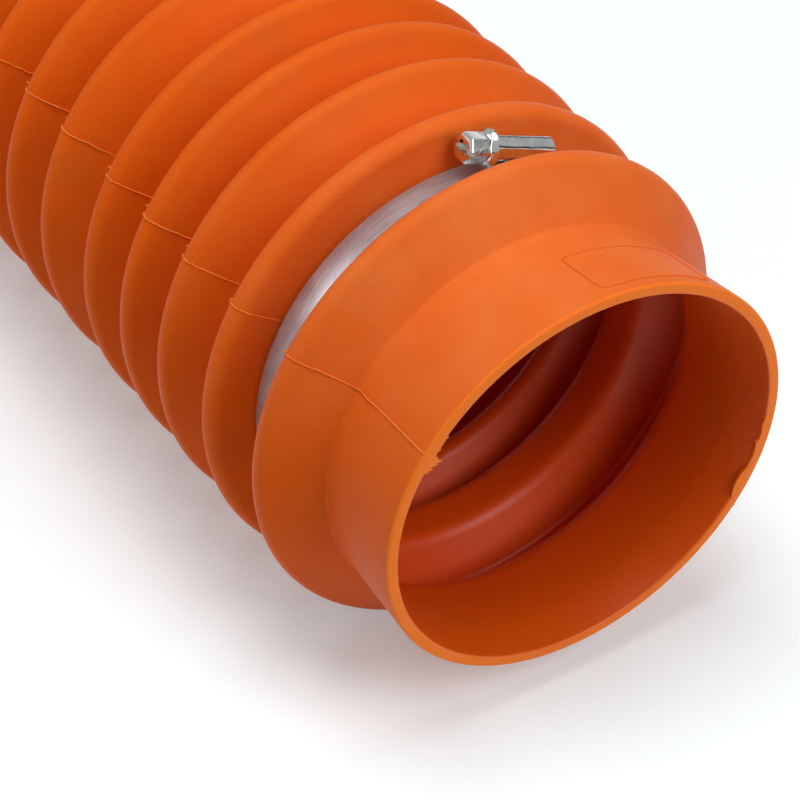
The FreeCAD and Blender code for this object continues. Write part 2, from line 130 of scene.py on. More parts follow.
# How the soft near mouth lies: moved sideways and down, and flatter than it is wide. The cage that
# gives it this shape has stations along the pipe, of which the last ones carry it.
MOUTH_SHIFT = (2.1, -0.7)
MOUTH_HEIGHT_SCALE = 0.951
MOUTH_SKEW = -0.01
CAGE_STATIONS = 24
CAGE_REACH = 3.0
CAGE_HEIGHT = 160.0

# The screw of the clamp: places along its axis from the middle of the clamp, towards the head.
SCREW_ANGLE = math.radians(22.0)
SCREW_TIP = -2.0
SCREW_CORE = 2.0
SCREW_STEPS = 64
THREAD_RADIUS = 2.65
THREAD_PITCH = 1.7
THREAD_TURNS = 9
THREAD_STEPS = 24
THREAD_FOOT = SCREW_CORE - 0.2
THREAD_START = SCREW_TIP + 0.2
THREAD_TOOTH = (
    (THREAD_FOOT, 0.0), (THREAD_RADIUS, 0.45), (THREAD_RADIUS, 0.75), (THREAD_FOOT, 1.2),
)
COLLAR_BACK = 16.2
COLLAR_RADIUS = 5.0
HEAD_BACK = 17.1
HEAD_FRONT = 24.5
HEX_ACROSS_FLATS = 7.0
FACE_DEPTH = 0.1
FACE_BEVEL = 0.55
EDGE_BEVEL = 0.12

# The recesses in the head's face: length, width, depth and the angle that they are turned by.
RECESSES = ((12.0, 1.2, 1.3, 0), (4.2, 0.95, 1.9, 45), (4.2, 0.95, 1.9, 135))

# The blank panel on the cuff: its middle and its size, along the pipe and round it.
PANEL_PLACE = 11.4
PANEL_ANGLE = 20.0
PANEL_LENGTH = 15.5
PANEL_WIDTH = 36.0
PANEL_CORNER = 2.0
PANEL_BEAD_RADIUS = 0.28
PANEL_POINT_GAP = 2.0
CUFF_CONE_START = 1.3

near_cuff = next(mount for mount in frame["record"]["mounts"] if mount["name"] == "near_cuff")
AXIS = Vector((0, 0, near_cuff["pos_m"][2]))
HALF_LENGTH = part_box("bellows")[1][0]


def radial(angle):
    """The direction away from the pipe's axis, at an angle in degrees from the top towards +Y."""
    turn = math.radians(angle)
    return Vector((0, math.sin(turn), math.cos(turn)))


def on_pipe(place, radius, angle):
    """A point at a distance from the near rim, a radius and an angle round the pipe."""
    return AXIS + Vector((HALF_LENGTH - place * MM, 0, 0)) + radial(angle) * radius * MM


# Modelling helpers

def select_only(*pieces):
    """Leaves edit mode and selects just these pieces, with the first one active."""
    if bpy.context.object and bpy.context.object.mode != "OBJECT":
        bpy.ops.object.mode_set(mode="OBJECT")
    bpy.ops.object.select_all(action="DESELECT")
    for piece in pieces:
        piece.select_set(True)
    if pieces:
        bpy.context.view_layer.objects.active = pieces[0]


def select_points():
    """Selects every point of the mesh that is being edited."""
    bpy.ops.mesh.select_all(action="SELECT")


def draw_line(name, points, closed=False):
    """A new mesh that is one line of points, extruded from point to point, left in edit mode."""
    select_only()
    bpy.ops.mesh.primitive_plane_add(size=MM)
    piece = bpy.context.object
    piece.name = name
    piece.data.name = name
    bpy.ops.object.mode_set(mode="EDIT")
    select_points()
    bpy.ops.mesh.merge(type="CENTER")
    bpy.ops.transform.translate(value=points[0])
    for before, after in zip(points, points[1:]):
        bpy.ops.mesh.extrude_vertices_move(TRANSFORM_OT_translate={"value": after - before})
    if closed:
        way_home = points[0] - points[-1]
        bpy.ops.mesh.extrude_vertices_move(TRANSFORM_OT_translate={"value": way_home})
        select_points()
        bpy.ops.mesh.remove_doubles(threshold=0.001 * MM)
    return piece


def turn_line(steps, centre, axis, merge_gap):
    """Spins the edited line into a closed shape, with its seam merged and its faces outward."""
    select_points()
    bpy.ops.mesh.spin(
        steps=steps, angle=2 * math.pi, center=centre, axis=axis, use_auto_merge=True
    )
    select_points()
    bpy.ops.mesh.remove_doubles(threshold=merge_gap * MM)
    bpy.ops.mesh.normals_make_consistent(inside=False)


def apply_modifiers(piece):
    """Applies all of the piece's modifiers, in their order."""
    select_only(piece)
    for modifier in list(piece.modifiers):
        bpy.ops.object.modifier_apply(modifier=modifier.name)


def apply_place(piece):
    """Puts the piece's place, turn and scale into its mesh."""
    select_only(piece)
    bpy.ops.object.transform_apply(location=True, rotation=True, scale=True)


def finish_piece(piece, smooth_angle=40.0):
    """Shades the piece smooth, apart from its edges that are sharper than the angle in degrees."""
    select_only(piece)
    bpy.ops.object.shade_smooth_by_angle(angle=math.radians(smooth_angle))
    return piece


def make_bead(line, radius, resolution=2):
    """The piece's line made into a thin round bead."""
    select_only(line)
    bpy.ops.object.convert(target="CURVE")
    line.data.bevel_depth = radius * MM
    line.data.bevel_resolution = resolution
    line.data.use_fill_caps = True
    bpy.ops.object.convert(target="MESH")
    return finish_piece(bpy.context.object, smooth_angle=80.0)


# The pipe's section: rounded corners joined by straight flanks. A corner is the middle of its
# rounding, as a place and a radius, and the rounding itself, which is negative in a hollow corner.

def corner_normals(corners):
    """The angle of the outward normal on the straight stretch after each corner."""
    normals = []
    for (x1, r1, round1), (x2, r2, round2) in zip(corners, corners[1:] + corners[:1]):
        run, rise = x2 - x1, r2 - r1
        lean = math.acos((round1 - round2) / math.hypot(run, rise))
        normals.append(math.atan2(rise, run) + lean)
    return normals


def rounded_arcs(corners):
    """Each corner of the closed section as a list of (place, radius) pairs."""
    leaving = corner_normals(corners)
    arcs = []
    for index, (x, r, rounding) in enumerate(corners):
        start, end = leaving[index - 1], leaving[index]
        sweep = (end - start + math.pi) % (2 * math.pi) - math.pi
        count = max(1, math.ceil(abs(sweep) / ARC_STEP))
        arc = []
        for share in range(count + 1):
            angle = start + sweep * share / count
            arc.append((x + rounding * math.cos(angle), r + rounding * math.sin(angle)))
        arcs.append(arc)
    return arcs


def outer_crest(place):
    """The outside's corner on a crest."""
    return (place, CREST_RADIUS - CREST_ROUNDING, CREST_ROUNDING)


def outer_root(place, radius=ROOT_RADIUS, rounding=ROOT_ROUNDING):
    """The outside's hollow corner in a fold."""
    return (place, radius + rounding, -rounding)


def inner_hollow(place):
    """The inside's hollow corner under a crest."""
    return (place, CREST_RADIUS - CREST_WALL - HOLLOW_ROUNDING, -HOLLOW_ROUNDING)


def inner_ridge(place, rounding=RIDGE_ROUNDING):
    """The inside's corner under a fold, or at the end of a straight part of the bore."""
    return (place, BORE_RADIUS + rounding, rounding)


crests = [CUFF_LENGTH + sum(PITCHES[:index]) for index in range(len(PITCHES) + 1)]
far_rim = crests[-1] + CUFF_LENGTH
groove = crests[0] + CLAMP_PLACE

outside = [
    (RIM_ROUNDING, RIM_RADIUS - RIM_ROUNDING, RIM_ROUNDING),
    outer_root(crests[0] - CUFF_ROOT_REACH, CUFF_ROOT_RADIUS),
    outer_crest(crests[0]),
]
for side in (-1, 1):
    corner = groove + side * (GROOVE_WIDTH / 2 - GROOVE_ROUNDING)
    outside += [outer_root(corner, GROOVE_RADIUS, GROOVE_ROUNDING)]
for place, pitch in zip(crests[1:], PITCHES[1:]):
    outside += [outer_crest(place), outer_root(place + pitch / 2)]
outside += [
    outer_crest(crests[-1]),
    outer_root(crests[-1] + CUFF_ROOT_REACH, CUFF_ROOT_RADIUS),
    (far_rim - RIM_ROUNDING, RIM_RADIUS - RIM_ROUNDING, RIM_ROUNDING),
]

inside = [
    (MOUTH_ROUNDING, MOUTH_RADIUS + MOUTH_ROUNDING, MOUTH_ROUNDING),
    inner_ridge(LEAD_IN_END, LEAD_IN_ROUNDING),
    inner_ridge(crests[0] - BORE_LAND_REACH, CUFF_EDGE_ROUNDING),
    inner_hollow(crests[0]),
]
for side in (-1, 1):
    corner = groove + side * (GROOVE_WIDTH / 2 - GROOVE_RIDGE_INSET)
    inside += [inner_ridge(corner, GROOVE_RIDGE_ROUNDING)]
for place, pitch in zip(crests[1:], PITCHES[1:]):
    inside += [inner_hollow(place), inner_ridge(place + pitch / 2)]
inside += [
    inner_hollow(crests[-1]),
    inner_ridge(crests[-1] + BORE_LAND_REACH, CUFF_EDGE_ROUNDING),
    inner_ridge(far_rim - LEAD_IN_END, LEAD_IN_ROUNDING),
    (far_rim - MOUTH_ROUNDING, MOUTH_RADIUS + MOUTH_ROUNDING, MOUTH_ROUNDING),
]


# The pipe and what is moulded on it

def make_bellows():
    """The whole pipe with its cuffs, turned as one wall and flat where it lies on the floor."""
    section = [point for arc in rounded_arcs(outside + inside[::-1]) for point in arc]
    pipe = draw_line("bellows_moulding", [on_pipe(x, r, 0.0) for x, r in section], closed=True)
    turn_line(PIPE_STEPS, AXIS, (1, 0, 0), merge_gap=0.01)
    select_points()
    bpy.ops.mesh.bisect(
        plane_co=(0, 0, 0), plane_no=(0, 0, 1), clear_inner=True, use_fill=True,
        threshold=0.001 * MM,
    )
    bpy.ops.object.mode_set(mode="OBJECT")
    return finish_piece(pipe)


def mark_inside(pipe):
    """Stores on each point how much its surface looks towards the pipe's axis, from 0 to 1."""
    marks = pipe.data.attributes.new("pipe_inside", "FLOAT", "POINT")
    for vertex, mark in zip(pipe.data.vertices, marks.data):
        away = vertex.co - AXIS
        away.x = 0
        facing = vertex.normal.dot(away.normalized())
        mark.value = min(1.0, max(0.0, (INSIDE_EDGE - facing) / INSIDE_FADE))


def make_parting_flash(name, parting_angle, seed):
    """The thin uneven ridge along the whole outside, where the halves of the mould meet."""
    raised = [(x, r, rounding + FLASH_LIFT) for x, r, rounding in outside]
    arcs = rounded_arcs(raised + inside[::-1])[:len(outside)]
    points = []
    for x, r in [point for arc in arcs for point in arc]:
        if FLASH_END_GAP < x < far_rim - FLASH_END_GAP:
            turn = PARTING_SWEEP * max(-1.0, 1.0 - x / crests[0])
            points.append(on_pipe(x, r, parting_angle + turn))
    flash = draw_line(name, points)
    select_points()
    bpy.ops.mesh.subdivide(number_cuts=FLASH_CUTS)
    bpy.ops.transform.vertex_random(offset=FLASH_WAVER * MM, seed=seed)
    bpy.ops.object.mode_set(mode="OBJECT")
    return make_bead(flash, FLASH_RADIUS, resolution=1)


def make_burrs(parting_angle, seed):
    """A torn nub of flash on each crest: one is modelled, the others are copies of it."""
    chance = random.Random(seed)
    select_only()
    bpy.ops.mesh.primitive_cone_add(
        vertices=8, radius1=NUB_FOOT_RADIUS * MM, radius2=NUB_TOP_RADIUS * MM,
        depth=NUB_LENGTH * MM, location=(0, 0, NUB_MIDDLE * MM),
    )
    nub = bpy.context.object
    bpy.ops.object.mode_set(mode="EDIT")
    select_points()
    for height in NUB_CUTS:
        bpy.ops.mesh.bisect(plane_co=(0, 0, height * MM), plane_no=(0, 0, 1))
        select_points()
    bpy.ops.transform.vertex_random(offset=NUB_WAVER * MM, seed=seed)
    bpy.ops.object.mode_set(mode="OBJECT")
    nubs = [nub]
    for _ in crests[1:]:
        twin = nub.copy()
        twin.data = nub.data.copy()
        bpy.context.collection.objects.link(twin)
        nubs.append(twin)
    up = radial(parting_angle)
    for crest, item in zip(crests, nubs):
        out = (up + Vector((-chance.uniform(*NUB_BACKWARD), 0, 0))).normalized()
        lean = Matrix.Rotation(chance.uniform(-NUB_TURN, NUB_TURN), 4, up)
        angle = parting_angle + chance.uniform(-NUB_STRAY, NUB_STRAY)
        foot = on_pipe(crest + NUB_SETBACK, CREST_RADIUS - NUB_DEPTH, angle)
        stand = out.to_track_quat("Z", "Y").to_matrix().to_4x4()
        grow = Matrix.Scale(chance.uniform(*NUB_SIZES), 4)
        item.matrix_world = Matrix.Translation(foot) @ lean @ stand @ grow
    select_only(*nubs)
    bpy.ops.object.join()
    apply_place(nub)
    nub.name = "burrs_%03d" % round(parting_angle % 360)
    return finish_piece(nub, smooth_angle=60.0)


def make_ragged_edge(name, teeth):
    """A torn web of flash on the mouth's inner edge, from its teeth."""
    rooted = [on_pipe(TORN_PLACE, MOUTH_RADIUS + TORN_ROOT, angle) for angle, _ in teeth]
    torn = [
        on_pipe(TORN_PLACE + TORN_LEAN * reach, MOUTH_RADIUS - reach, angle)
        for angle, reach in teeth
    ]
    edge = draw_line(name, rooted + torn[::-1], closed=True)
    select_points()
    bpy.ops.mesh.edge_face_add()
    bpy.ops.mesh.quads_convert_to_tris()
    bpy.ops.object.mode_set(mode="OBJECT")
    wall = edge.modifiers.new("wall", "SOLIDIFY")
    wall.thickness = TORN_THICKNESS * MM
    wall.offset = 0.0
    apply_modifiers(edge)
    return finish_piece(edge)


def cuff_radius(place):
    """The radius of the near cuff's outside at a distance from its rim."""
    cone_length = crests[0] - CUFF_ROOT_REACH - CUFF_CONE_START
    slope = (CUFF_ROOT_RADIUS - RIM_RADIUS) / cone_length
    return RIM_RADIUS + slope * (place - CUFF_CONE_START)


def make_blank_panel():
    """The raised outline of the blank panel on the cuff: a rectangle with rounded corners."""
    points = []
    for side_x, side_y, first in ((1, 1, 0), (-1, 1, 90), (-1, -1, 180), (1, -1, 270)):
        for step in range(4):
            angle = math.radians(first + 30 * step)
            corner_place = PANEL_PLACE + side_x * (PANEL_LENGTH / 2 - PANEL_CORNER)
            place = corner_place + PANEL_CORNER * math.cos(angle)
            across = side_y * (PANEL_WIDTH / 2 - PANEL_CORNER) + PANEL_CORNER * math.sin(angle)
            points.append((place, across))
    path = []
    for (x1, a1), (x2, a2) in zip(points, points[1:] + points[:1]):
        count = max(1, round(math.hypot(x2 - x1, a2 - a1) / PANEL_POINT_GAP))
        for share in range(count):
            place = x1 + (x2 - x1) * share / count
            across = a1 + (a2 - a1) * share / count
            radius = cuff_radius(place)
            path.append(on_pipe(place, radius, PANEL_ANGLE + math.degrees(across / radius)))
    outline = draw_line("blank_panel", path, closed=True)
    bpy.ops.object.mode_set(mode="OBJECT")
    return make_bead(outline, PANEL_BEAD_RADIUS)


# The screw of the clamp, modelled upright at the origin and then put in its place

def place_on_screw(piece):
    """Turns the piece so that its own Z runs along the screw to the head, and moves it there."""
    ahead = Vector((0, -math.cos(SCREW_ANGLE), math.sin(SCREW_ANGLE)))
    middle = Vector(frame["record"]["behaviour"]["joints"][0]["pos_m"])
    sideways = Vector((1, 0, 0))
    turn = Matrix((sideways, ahead.cross(sideways), ahead)).transposed().to_4x4()
    piece.matrix_world = Matrix.Translation(middle) @ turn
    apply_place(piece)


def cut_away(piece, cutter):
    """Takes the cutter's shape out of the piece and removes the cutter."""
    cut = piece.modifiers.new("cut", "BOOLEAN")
    cut.operation = "DIFFERENCE"
    cut.solver = "EXACT"
    cut.object = cutter
    apply_modifiers(piece)
    bpy.data.objects.remove(cutter, do_unlink=True)


def make_shank():
    """The core, the collar and its dome in one turned piece."""
    profile = [
        (0.0, SCREW_TIP),
        (SCREW_CORE - 0.5, SCREW_TIP),
        (SCREW_CORE, SCREW_TIP + 0.5),
        (SCREW_CORE, COLLAR_BACK),
        (COLLAR_RADIUS - 0.15, COLLAR_BACK),
        (COLLAR_RADIUS, COLLAR_BACK + 0.15),
        (COLLAR_RADIUS, HEAD_BACK - 0.2),
        (COLLAR_RADIUS - 0.25, HEAD_BACK + 0.05),
        (COLLAR_RADIUS - 0.6, HEAD_BACK + 0.5),
        (COLLAR_RADIUS - 1.2, HEAD_BACK + 1.0),
        (0.0, HEAD_BACK + 1.1),
    ]
    shank = draw_line("clamp_screw_shank", [Vector((r * MM, 0, z * MM)) for r, z in profile])
    turn_line(SCREW_STEPS, (0, 0, 0), (0, 0, 1), merge_gap=0.005)
    bpy.ops.object.mode_set(mode="OBJECT")
    return shank


def make_thread():
    """The worm's thread, wound round the core by the Screw modifier."""
    points = [Vector((r * MM, 0, (THREAD_START + z) * MM)) for r, z in THREAD_TOOTH]
    thread = draw_line("clamp_screw_thread", points, closed=True)
    bpy.ops.object.mode_set(mode="OBJECT")
    wind = thread.modifiers.new("wind", "SCREW")
    wind.axis = "Z"
    wind.angle = 2 * math.pi
    wind.screw_offset = THREAD_PITCH * MM
    wind.iterations = THREAD_TURNS
    wind.steps = THREAD_STEPS
    wind.render_steps = THREAD_STEPS
    apply_modifiers(thread)
    bpy.ops.object.mode_set(mode="EDIT")
    select_points()
    bpy.ops.mesh.fill_holes(sides=0)
    select_points()
    bpy.ops.mesh.normals_make_consistent(inside=False)
    bpy.ops.object.mode_set(mode="OBJECT")
    return thread


def make_hexagon():
    """The hexagon head with its bevelled face, its slot and its cross recess."""
    select_only()
    bpy.ops.mesh.primitive_cylinder_add(
        vertices=6, radius=HEX_ACROSS_FLATS / math.sqrt(3) * MM,
        depth=(HEAD_FRONT - HEAD_BACK) * MM,
        location=(0, 0, (HEAD_FRONT + HEAD_BACK) / 2 * MM), rotation=(0, 0, math.radians(30)),
    )
    head = bpy.context.object
    head.name = "clamp_screw_head"
    apply_place(head)
    bpy.ops.object.mode_set(mode="EDIT")
    bpy.ops.mesh.select_all(action="DESELECT")
    bpy.ops.object.mode_set(mode="OBJECT")
    points = head.data.vertices
    for edge in head.data.edges:
        edge.select = all(points[v].co.z > (HEAD_FRONT - FACE_DEPTH) * MM for v in edge.vertices)
    bpy.ops.object.mode_set(mode="EDIT")
    bpy.ops.mesh.bevel(offset=FACE_BEVEL * MM, segments=3, profile=0.6, affect="EDGES")
    bpy.ops.object.mode_set(mode="OBJECT")
    soften = head.modifiers.new("soften", "BEVEL")
    soften.width = EDGE_BEVEL * MM
    soften.segments = 2
    soften.limit_method = "ANGLE"
    soften.angle_limit = math.radians(40)
    apply_modifiers(head)
    for length, width, depth, turn in RECESSES:
        select_only()
        bpy.ops.mesh.primitive_cube_add(
            size=MM, location=(0, 0, HEAD_FRONT * MM), rotation=(0, 0, math.radians(turn))
        )
        cutter = bpy.context.object
        cutter.scale = (length, width, 2 * depth)
        cut_away(head, cutter)
    return head


def make_clamp_screw():
    """The whole screw in one piece, in its place in the clamp."""
    parts = [
        finish_piece(make_shank()),
        finish_piece(make_thread()),
        finish_piece(make_hexagon(), smooth_angle=12.0),
    ]
    select_only(*parts)
    bpy.ops.object.join()
    screw = bpy.context.object
    screw.name = "worm_drive_screw"
    screw.data.name = "worm_drive_screw"
    place_on_screw(screw)
    return screw


# The soft mouth

def make_soft_cage():
    """A lattice round the whole pipe. Its last stations carry the near mouth's softer shape."""
    cage_data = bpy.data.lattices.new("soft_cage")
    cage_data.points_u, cage_data.points_v, cage_data.points_w = CAGE_STATIONS, 2, 2
    cage_data.interpolation_type_u = "KEY_LINEAR"
    cage = bpy.data.objects.new("soft_cage", cage_data)
    bpy.context.collection.objects.link(cage)
    size = Vector((2 * HALF_LENGTH / (CAGE_STATIONS - 1), CAGE_HEIGHT * MM, CAGE_HEIGHT * MM))
    cage.matrix_world = Matrix.Translation(AXIS) @ Matrix.Diagonal(size).to_4x4()
    for point in cage_data.points:
        x, y, z = point.co
        share = max(0.0, 1.0 - ((CAGE_STATIONS - 1) / 2 - x) / CAGE_REACH)
        across = y + z * MOUTH_SKEW + MOUTH_SHIFT[0] * MM / size.y
        upward = z * MOUTH_HEIGHT_SCALE + y * MOUTH_SKEW + MOUTH_SHIFT[1] * MM / size.z
        point.co_deform = (x, y + (across - y) * share, z + (upward - z) * share)
    return cage


def soften_mouth(piece, cage):
    """Shapes the piece by the cage, for good."""
    bend = piece.modifiers.new("soft_mouth", "LATTICE")
    bend.object = cage
    apply_modifiers(piece)


# Materials

DEEP_ORANGE = (0.69, 0.088, 0.001, 1)
BRIGHT_ORANGE = (0.72, 0.101, 0.0015, 1)
# The flash and its nubs are a paler orange: painted highlight on the thin ridges.
DEEP_FLASH_HIGHLIGHT = (0.85, 0.19, 0.02, 1)
BRIGHT_FLASH_HIGHLIGHT = (0.85, 0.27, 0.05, 1)
BROWN_MARK = (0.50, 0.10, 0.02, 1)
# A pale orange for the painted sheen on the upper side.
PALE_PAINTED_SHEEN = (0.80, 0.20, 0.05, 1)
# A paler orange for the near rim's end face.
RIM_FACE_ORANGE = (0.90, 0.19, 0.02, 1)
# A redder, darker orange for the painted shade inside the pipe.
INSIDE_SHADE_RED = (0.68, 0.058, 0.002, 1)
CLEAN_ZINC = (0.80, 0.80, 0.77, 1)
STAINED_ZINC = (0.68, 0.71, 0.72, 1)
BRIGHT_STEEL = (0.62, 0.69, 0.77, 1)
GREY_STEEL = (0.49, 0.55, 0.62, 1)
# A dark grey for the painted shade on the strip near the housing.
DARK_STEEL_PAINTED_SHADE = (0.33, 0.33, 0.34, 1)


def new_material(name):
    """A new material with its nodes, its links and its shader."""
    material = bpy.data.materials.new(name)
    material.use_nodes = True
    nodes = material.node_tree.nodes
    return material, nodes, material.node_tree.links, nodes["Principled BSDF"]


def cloud_mask():
    """Soft uneven patches: 0 to 1 over the surface, from the size and the depth of the patches."""
    tree = bpy.data.node_groups.new("cloudy_patches", "ShaderNodeTree")
    tree.interface.new_socket("Place", in_out="INPUT", socket_type="NodeSocketVector")
    for label, number in (("Scale", 30.0), ("Detail", 3.0), ("Low", 0.35), ("High", 0.65)):
        socket = tree.interface.new_socket(label, in_out="INPUT", socket_type="NodeSocketFloat")
        socket.default_value = number
    tree.interface.new_socket("Mask", in_out="OUTPUT", socket_type="NodeSocketFloat")
    given = tree.nodes.new("NodeGroupInput")
    made = tree.nodes.new("NodeGroupOutput")
    noise = tree.nodes.new("ShaderNodeTexNoise")
    span = tree.nodes.new("ShaderNodeMapRange")
    span.interpolation_type = "SMOOTHSTEP"
    tree.links.new(given.outputs["Place"], noise.inputs["Vector"])
    tree.links.new(given.outputs["Scale"], noise.inputs["Scale"])
    tree.links.new(given.outputs["Detail"], noise.inputs["Detail"])
    tree.links.new(noise.outputs["Fac"], span.inputs["Value"])
    tree.links.new(given.outputs["Low"], span.inputs["From Min"])
    tree.links.new(given.outputs["High"], span.inputs["From Max"])
    tree.links.new(span.outputs["Result"], made.inputs["Mask"])
    return tree


PATCHES = cloud_mask()


def patches(nodes, links, place, scale, detail, low, high):
    """The shared patches, with a material's own values."""
    node = nodes.new("ShaderNodeGroup")
    node.node_tree = PATCHES
    links.new(place, node.inputs["Place"])
    for label, value in (("Scale", scale), ("Detail", detail), ("Low", low), ("High", high)):
        node.inputs[label].default_value = value
    return node.outputs["Mask"]


def blend_colour(nodes, links, mask, first, second):
    """The first colour where the mask is 0, the second where it is 1."""
    mix = nodes.new("ShaderNodeMix")
    mix.data_type = "RGBA"
    for socket, value in ((mix.inputs[6], first), (mix.inputs[7], second)):
        if isinstance(value, bpy.types.NodeSocket):
            links.new(value, socket)
        else:
            socket.default_value = value
    links.new(mask, mix.inputs[0])
    return mix.outputs[2]


def spread(nodes, links, value, low, high):
    """A mask from 0 to 1 turned into a number from low to high."""
    node = nodes.new("ShaderNodeMapRange")
    node.inputs["To Min"].default_value = low
    node.inputs["To Max"].default_value = high
    links.new(value, node.inputs["Value"])
    return node.outputs["Result"]


def ramp(nodes, links, value, start, end, low=0.0, high=1.0):
    """A soft step from low to high, while the value goes from start to end."""
    node = nodes.new("ShaderNodeMapRange")
    node.interpolation_type = "SMOOTHSTEP"
    limits = (("From Min", start), ("From Max", end), ("To Min", low), ("To Max", high))
    for label, number in limits:
        node.inputs[label].default_value = number
    links.new(value, node.inputs["Value"])
    return node.outputs["Result"]


def product(nodes, links, first, second):
    """Two masks, one times the other."""
    node = nodes.new("ShaderNodeMath")
    node.operation = "MULTIPLY"
    links.new(first, node.inputs[0])
    links.new(second, node.inputs[1])
    return node.outputs["Value"]


def bump(nodes, links, height, distance):
    """The surface raised by a mask, by a distance in metres where the mask is 1."""
    node = nodes.new("ShaderNodeBump")
    node.inputs["Distance"].default_value = distance
    node.inputs["Strength"].default_value = 1.0
    links.new(height, node.inputs["Height"])
    return node.outputs["Normal"]


def orange_elastomer(name, deep, bright):
    """Saturated orange rubber, with painted pale sheen on its upper side and a paler rim end face.

    Where the attribute marks the pipe's inside, painted shade makes it redder, and it is shinier.
    """
    material, nodes, links, shader = new_material(name)
    place = nodes.new("ShaderNodeTexCoord").outputs["Object"]
    split = nodes.new("ShaderNodeSeparateXYZ")
    links.new(place, split.inputs["Vector"])

    slow = patches(nodes, links, place, scale=22.0, detail=3.0, low=0.3, high=0.7)
    colour = blend_colour(nodes, links, slow, deep, bright)

    marks = patches(nodes, links, place, scale=42.0, detail=6.0, low=0.54, high=0.80)
    faint = spread(nodes, links, marks, low=0.0, high=0.30)
    colour = blend_colour(nodes, links, faint, colour, BROWN_MARK)

    # Painted sheen: a pale orange on the upper side, stronger near the mouth, broken into patches.
    high_up = ramp(nodes, links, split.outputs["Z"], start=0.06, end=0.145)
    near = ramp(nodes, links, split.outputs["X"], start=0.02, end=0.13, low=0.25, high=1.0)
    sheen_patches = patches(nodes, links, place, scale=60.0, detail=6.0, low=0.3, high=0.75)
    painted_sheen = product(nodes, links, high_up, near)
    painted_sheen = product(nodes, links, painted_sheen, spread(nodes, links, sheen_patches, low=0.45, high=0.75))
    colour = blend_colour(nodes, links, painted_sheen, colour, PALE_PAINTED_SHEEN)

    # The near rim's end face is made a paler orange.
    rim_face = ramp(
        nodes, links, split.outputs["X"], start=HALF_LENGTH - 0.0009, end=HALF_LENGTH - 0.0002
    )
    colour = blend_colour(nodes, links, rim_face, colour, RIM_FACE_ORANGE)

    # Painted shade: the pipe's inside turns a redder, darker orange, more so further in.
    marks_inside = nodes.new("ShaderNodeAttribute")
    marks_inside.attribute_name = "pipe_inside"
    inside_face = marks_inside.outputs["Fac"]
    from_middle = nodes.new("ShaderNodeMath")
    from_middle.operation = "ABSOLUTE"
    links.new(split.outputs["X"], from_middle.inputs[0])
    deep_inside = ramp(
        nodes, links, from_middle.outputs["Value"],
        start=HALF_LENGTH - 0.030, end=HALF_LENGTH - 0.014, low=0.75, high=0.3,
    )
    painted_inside_shade = product(nodes, links, inside_face, deep_inside)
    colour = blend_colour(nodes, links, painted_inside_shade, colour, INSIDE_SHADE_RED)
    links.new(colour, shader.inputs["Base Color"])

    shader.inputs["Specular IOR Level"].default_value = 0.08
    shader.inputs["Specular Tint"].default_value = (1.0, 0.5, 0.3, 1)
    shader.inputs["Coat Roughness"].default_value = 0.4
    shine = spread(nodes, links, inside_face, low=0.0, high=0.6)
    links.new(shine, shader.inputs["Coat Weight"])
    links.new(spread(nodes, links, slow, low=0.36, high=0.46), shader.inputs["Roughness"])
    fine = patches(nodes, links, place, scale=1500.0, detail=3.0, low=0.3, high=0.7)
    links.new(bump(nodes, links, fine, distance=0.00005), shader.inputs["Normal"])
    return material


def bright_zinc():
    """Shiny zinc plate with faint greyer stains."""
    material, nodes, links, shader = new_material("bright_zinc")
    place = nodes.new("ShaderNodeTexCoord").outputs["Object"]
    stain = patches(nodes, links, place, scale=260.0, detail=4.0, low=0.35, high=0.7)
    colour = blend_colour(nodes, links, stain, CLEAN_ZINC, STAINED_ZINC)
    links.new(colour, shader.inputs["Base Color"])
    shader.inputs["Metallic"].default_value = 1.0
    links.new(spread(nodes, links, stain, low=0.07, high=0.18), shader.inputs["Roughness"])
    links.new(bump(nodes, links, stain, distance=0.00002), shader.inputs["Normal"])
    return material


def brushed_steel():
    """Steel strip, brushed along its length, cloudy, with painted shade making it darker near the
    housing.
    """
    material, nodes, links, shader = new_material("brushed_strip_steel")
    place = nodes.new("ShaderNodeTexCoord").outputs["Object"]
    along = nodes.new("ShaderNodeMapping")
    along.inputs["Scale"].default_value = (1.0, 0.03, 0.03)
    links.new(place, along.inputs["Vector"])
    lines = patches(
        nodes, links, along.outputs["Vector"], scale=4200.0, detail=2.0, low=0.3, high=0.7
    )
    cloud = patches(nodes, links, place, scale=160.0, detail=5.0, low=0.3, high=0.75)
    colour = blend_colour(nodes, links, cloud, BRIGHT_STEEL, GREY_STEEL)
    split = nodes.new("ShaderNodeSeparateXYZ")
    links.new(place, split.inputs["Vector"])
    # Painted shade: the strip turns darker towards the top, near the housing.
    painted_shade = ramp(nodes, links, split.outputs["Z"], start=0.112, end=0.126, low=0.0, high=0.6)
    colour = blend_colour(nodes, links, painted_shade, colour, DARK_STEEL_PAINTED_SHADE)
    links.new(colour, shader.inputs["Base Color"])
    shader.inputs["Metallic"].default_value = 0.75
    links.new(spread(nodes, links, lines, low=0.26, high=0.38), shader.inputs["Roughness"])
    links.new(bump(nodes, links, lines, distance=0.000006), shader.inputs["Normal"])
    return material


def dress(piece, material):
    """Gives the piece this material and no other."""
    piece.data.materials.clear()
    piece.data.materials.append(material)


elastomer = orange_elastomer("orange_elastomer", DEEP_ORANGE, BRIGHT_ORANGE)
# The flash and nubs get a paler orange: painted highlight on the thin ridges.
flash_highlight_elastomer = orange_elastomer("orange_flash_painted_highlight", DEEP_FLASH_HIGHLIGHT, BRIGHT_FLASH_HIGHLIGHT)
zinc = bright_zinc()
strip_steel = brushed_steel()

# The pieces

cage = make_soft_cage()
bellows = make_bellows()
mark_inside(bellows)
soften_mouth(bellows, cage)
dress(bellows, elastomer)
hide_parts("bellows")
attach(bellows, "pipe")

